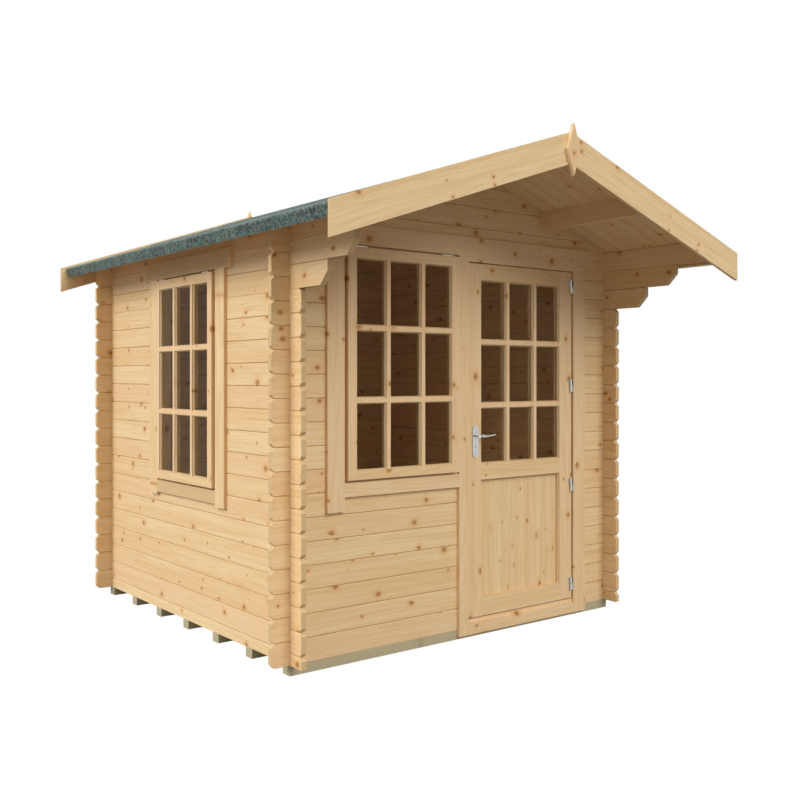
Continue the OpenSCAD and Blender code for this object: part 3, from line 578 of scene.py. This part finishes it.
class CABIN_OT_felt(bpy.types.Operator):
    """Felt on both slopes, with its upper course, ridge strip and clout nails"""

    bl_idname = "cabin.felt"
    bl_label = "Roof felt"

    def execute(self, context):
        look = context.scene.cabin_roof
        felt = felt_material(look)
        dress(felt, "roof_felt_left", "roof_felt_right")
        low, high = FELT_LOW, FELT_HIGH
        apex = high.z
        length = high.y - low.y
        middle = (high.y + low.y) / 2
        slope = math.tan(ROOF_PITCH)
        thick = look.lap
        # Upper course over the lower one, and a strip over the ridge
        for name, reach, lift in (("felt_upper_course", 0.78, 0.0), ("felt_ridge_strip", 0.24, thick)):
            start()
            bpy.ops.mesh.primitive_plane_add(size=1, location=(0, middle, apex + lift))
            bpy.ops.object.mode_set(mode="EDIT")
            bpy.ops.mesh.select_all(action="SELECT")
            bpy.ops.transform.resize(value=(2 * reach, length - 0.004, 1))
            bpy.ops.mesh.bisect(
                plane_co=(0, 0, 0), plane_no=(1, 0, 0), clear_inner=False, clear_outer=False
            )
            bpy.ops.object.mode_set(mode="OBJECT")
            piece = context.object
            for vertex in piece.data.vertices:
                vertex.select = abs(vertex.co.x) > 0.01
            for edge in piece.data.edges:
                edge.select = False
            for face in piece.data.polygons:
                face.select = False
            bpy.ops.object.mode_set(mode="EDIT")
            bpy.ops.mesh.select_mode(type="VERT")
            bpy.ops.transform.translate(value=(0, 0, -reach * slope))
            bpy.ops.object.mode_set(mode="OBJECT")
            wall = piece.modifiers.new("thickness", "SOLIDIFY")
            wall.thickness = thick
            wall.offset = 1
            bpy.ops.object.modifier_apply(modifier=wall.name)
            finish_piece(name, felt, "cabin", "roofing_felt")
        # Clout nails along the laps
        start()
        bpy.ops.mesh.primitive_cylinder_add(vertices=10, radius=0.005, depth=0.0016)
        bpy.ops.object.mode_set(mode="EDIT")
        bpy.ops.mesh.bevel(offset=0.0006, segments=1, affect="EDGES")
        bpy.ops.object.mode_set(mode="OBJECT")
        model = context.object
        count = int((length - 0.06) / look.nail_step)
        places = []
        for side in (-1, 1):
            for reach, lift in ((0.76, thick), (0.22, 2 * thick)):
                for i in range(count + 1):
                    y = low.y + 0.03 + (length - 0.06) * i / count
                    places.append((side * reach, y, apex - reach * slope + lift + 0.0006))
        join_copies(model, places)
        finish_piece("clout_nails", metal("galvanised_steel_nails", "8D9294", 0.45), "cabin", "hinge_steel")
        return {"FINISHED"}


# ---- Glass ----


class CABIN_OT_glazing(bpy.types.Operator):
    """Panes of the door and both windows"""

    bl_idname = "cabin.glazing"
    bl_label = "Glass"

    def execute(self, context):
        # Drawn float glass: clear and smooth, a faint waviness breaks up what it mirrors
        material, tree, shader = new_material("float_glass")
        point = add(tree, "TexCoord").outputs["Object"]
        wave = add(tree, "TexNoise", {"Vector": point, "Scale": 3.0, "Detail": 1.0})
        bump = add(tree, "Bump", {"Strength": 0.05, "Distance": 0.001, "Height": wave.outputs[0]})
        tree.links.new(bump.outputs[0], shader.inputs["Normal"])
        shader.inputs["Base Color"].default_value = srgb("E2DCD2")
        shader.inputs["Roughness"].default_value = 0.0
        # The eye reads these panes as a dark room with hardly a reflection, so the IOR is low
        shader.inputs["IOR"].default_value = 1.08
        shader.inputs["Transmission Weight"].default_value = 1.0
        dress(material, "front_glass", "side_glass", "door_glass")
        return {"FINISHED"}


# ---- Ironmongery ----


def metal(name, code, rough):
    """Bare or plated metal with faint brushing and handling marks."""
    material, tree, shader = new_material(name)
    point = add(tree, "TexCoord").outputs["Object"]
    marks = add(tree, "TexNoise", {"Vector": point, "Scale": 180.0, "Detail": 3.0})
    uneven = add(
        tree, "MapRange",
        {"Value": marks.outputs[0], "From Min": 0.3, "From Max": 0.7,
         "To Min": rough - 0.06, "To Max": rough + 0.06},
    ).outputs[0]
    tree.links.new(uneven, shader.inputs["Roughness"])
    tint = add(
        tree, "Mix", {0: marks.outputs[0], 6: srgb(code), 7: srgb("C9C9C6")}, data_type="RGBA"
    ).outputs[2]
    tree.links.new(tint, shader.inputs["Base Color"])
    shader.inputs["Metallic"].default_value = 1.0
    return material


class CABIN_OT_hinges(bpy.types.Operator):
    """Door and window hinges"""

    bl_idname = "cabin.hinges"
    bl_label = "Hinges"

    def execute(self, context):
        zinc = metal("zinc_plated_steel", "B8B8B2", 0.38)
        dress(zinc, "window_hinges", "door_hinges_fixed", "door_hinges_moving")
        return {"FINISHED"}


class CABIN_OT_handles(bpy.types.Operator):
    """Lever handles on both faces of the door"""

    bl_idname = "cabin.handles"
    bl_label = "Handles"

    def execute(self, context):
        satin = metal("satin_anodised_aluminium", "B4B4B0", 0.3)
        dress(satin, "handle_plates")
        hub = Vector(LEVER["pos_m"])
        for name, side, face, node in (
            ("lever_outside", -1, LEAF_LOW.y, "outer_lever"),
            ("lever_inside", 1, LEAF_HIGH.y, "inner_lever"),
        ):
            start()

            def at(x, y, z):
                """A place by the handle: along, off the face and up."""
                return (hub.x + x, face + side * y, hub.z + z)

            quarter = math.pi / 2 * -side
            sweep([
                (at(0, 0.004, 0), 0.0085, 1.0, 0),
                (at(0, 0.012, 0), 0.0082, 1.0, 0),
                (at(0, 0.030, 0), 0.0078, 1.0, 0),
                (at(0.0015, 0.038, 0), 0.0080, 1.0, quarter * 0.25),
                (at(0.006, 0.0435, 0.0003), 0.0082, 1.02, quarter * 0.6),
                (at(0.013, 0.0455, 0.0005), 0.0078, 1.1, quarter),
                (at(0.024, 0.0458, -0.0022), 0.0064, 1.15, quarter),
                (at(0.036, 0.0458, -0.0034), 0.0062, 1.1, quarter),
                (at(0.050, 0.0458, -0.0028), 0.0050, 1.05, quarter),
                (at(0.068, 0.0458, -0.0010), 0.0042, 1.0, quarter),
                (at(0.085, 0.0458, 0.0002), 0.0044, 1.05, quarter),
                (at(0.098, 0.0455, 0.0020), 0.0048, 1.1, quarter),
                (at(0.107, 0.0450, 0.0044), 0.0040, 1.1, quarter),
                (at(0.111, 0.0446, 0.0058), 0.0022, 1.1, quarter),
            ])
            smooth = context.object.modifiers.new("smooth", "SUBSURF")
            smooth.levels = 2
            smooth.render_levels = 2
            bpy.ops.object.modifier_apply(modifier=smooth.name)
            finish_piece(name, satin, "handle", "handle_metal", node, smooth=60)
        # One dished screw above the lever and one near the foot of each plate
        low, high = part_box("handle_plates")
        places = [
            (hub.x, y, z)
            for y in (low.y, high.y)
            for z in (low.z + 0.014, high.z - 0.014)
        ]
        start()
        bpy.ops.mesh.primitive_cylinder_add(
            vertices=20, radius=0.004, depth=0.0006, rotation=(math.pi / 2, 0, 0)
        )
        bpy.ops.object.transform_apply(location=False, rotation=True, scale=False)
        bpy.ops.object.mode_set(mode="EDIT")
        bpy.ops.mesh.inset(thickness=0.001, depth=0)
        bpy.ops.object.mode_set(mode="OBJECT")
        join_copies(context.object, places)
        dull = metal("zinc_plated_screws", "7C7C78", 0.45)
        finish_piece("plate_screws", dull, "door", "handle_metal")
        return {"FINISHED"}


# ---- Stage ----


class CABIN_OT_stage(bpy.types.Operator):
    """Pale floor, soft light and the camera"""

    bl_idname = "cabin.stage"
    bl_label = "Stage"

    def execute(self, context):
        scene = context.scene
        light = scene.cabin_light
        start()
        bpy.ops.mesh.primitive_plane_add(size=60, location=(0, 0, -0.0005))
        floor = context.object
        floor.name = "floor"
        material = bpy.data.materials.new("pale_floor")
        material.use_nodes = True
        tree = material.node_tree
        tree.nodes.clear()
        matt = add(tree, "BsdfDiffuse", {"Color": (0.22, 0.22, 0.22, 1)})
        white = add(tree, "Emission", {"Color": (1, 1, 1, 1), "Strength": 1.08})
        path = add(tree, "LightPath").outputs
        seen = add(tree, "Math", {0: path["Is Camera Ray"], 1: path["Is Glossy Ray"]}, operation="MAXIMUM")
        seen = add(tree, "Math", {0: seen.outputs[0], 1: path["Is Transmission Ray"]}, operation="MAXIMUM")
        share = add(tree, "Math", {0: seen.outputs[0], 1: 0.93}, operation="MULTIPLY")
        mix = add(tree, "MixShader", {0: share.outputs[0], 1: matt.outputs[0], 2: white.outputs[0]})
        add(tree, "OutputMaterial", {"Surface": mix.outputs[0]})
        floor.data.materials.append(material)

        world = bpy.data.worlds.new("studio")
        scene.world = world
        world.use_nodes = True
        tree = world.node_tree
        tree.nodes.clear()
        path = add(tree, "LightPath").outputs
        seen = add(tree, "Math", {0: path["Is Camera Ray"], 1: path["Is Glossy Ray"]}, operation="MAXIMUM")
        seen = add(tree, "Math", {0: seen.outputs[0], 1: path["Is Transmission Ray"]}, operation="MAXIMUM")
        power = add(
            tree, "Mix", {0: seen.outputs[0], 2: light.sky, 3: 1.0}, data_type="FLOAT"
        ).outputs[0]
        sky = add(tree, "Background", {"Color": (1, 1, 1, 1), "Strength": power})
        add(tree, "OutputWorld", {"Surface": sky.outputs[0]})

        for name, turn, strength, spread in (
            ("key", (math.radians(56), 0, math.radians(-99)), light.key, 40),
            ("fill", (math.radians(55), 0, math.radians(10)), light.fill, 40),
        ):
            lamp = bpy.data.lights.new(name, "SUN")
            lamp.energy = strength
            lamp.angle = math.radians(spread)
            holder = bpy.data.objects.new(name, lamp)
            holder.rotation_euler = turn
            scene.collection.objects.link(holder)

        data = bpy.data.cameras.new("camera")
        data.sensor_width = 36
        data.lens = 36 * 972.4967 / 800
        data.shift_x = (400 - 416.2627) / 800
        data.shift_y = (377.4047 - 400) / 800
        data.clip_end = 200
        camera = bpy.data.objects.new("camera", data)
        camera.location = (-3.4925, -4.7827, 1.4034)
        camera.rotation_euler = (math.pi / 2, 0, -0.6709)
        scene.collection.objects.link(camera)
        scene.camera = camera
        scene.view_settings.view_transform = "Standard"
        return {"FINISHED"}


STEPS = (
    CABIN_OT_logs, CABIN_OT_roof_timbers, CABIN_OT_joinery, CABIN_OT_base, CABIN_OT_felt,
    CABIN_OT_glazing, CABIN_OT_hinges, CABIN_OT_handles, CABIN_OT_stage,
)


class CABIN_PT_panel(bpy.types.Panel):
    """Settings and steps of the cabin"""

    bl_idname = "CABIN_PT_panel"
    bl_label = "Log Cabin"
    bl_space_type = "VIEW_3D"
    bl_region_type = "UI"
    bl_category = "Log Cabin"

    def draw(self, context):
        for settings in ("cabin_timber", "cabin_roof", "cabin_light"):
            group = getattr(context.scene, settings)
            box = self.layout.box()
            for key in type(group).__annotations__:
                box.prop(group, key)
        for step in STEPS:
            self.layout.operator(step.bl_idname)


CLASSES = (CabinTimber, CabinRoof, CabinLight, *STEPS, CABIN_PT_panel)


def register():
    for item in CLASSES:
        bpy.utils.register_class(item)
    bpy.types.Scene.cabin_timber = bpy.props.PointerProperty(type=CabinTimber)
    bpy.types.Scene.cabin_roof = bpy.props.PointerProperty(type=CabinRoof)
    bpy.types.Scene.cabin_light = bpy.props.PointerProperty(type=CabinLight)


def unregister():
    del bpy.types.Scene.cabin_light
    del bpy.types.Scene.cabin_roof
    del bpy.types.Scene.cabin_timber
    for item in reversed(CLASSES):
        bpy.utils.unregister_class(item)


def main():
    """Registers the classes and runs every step."""
    register()
    for step in STEPS:
        group, name = step.bl_idname.split(".")
        getattr(getattr(bpy.ops, group), name)()


if __name__ == "__main__":
    main()
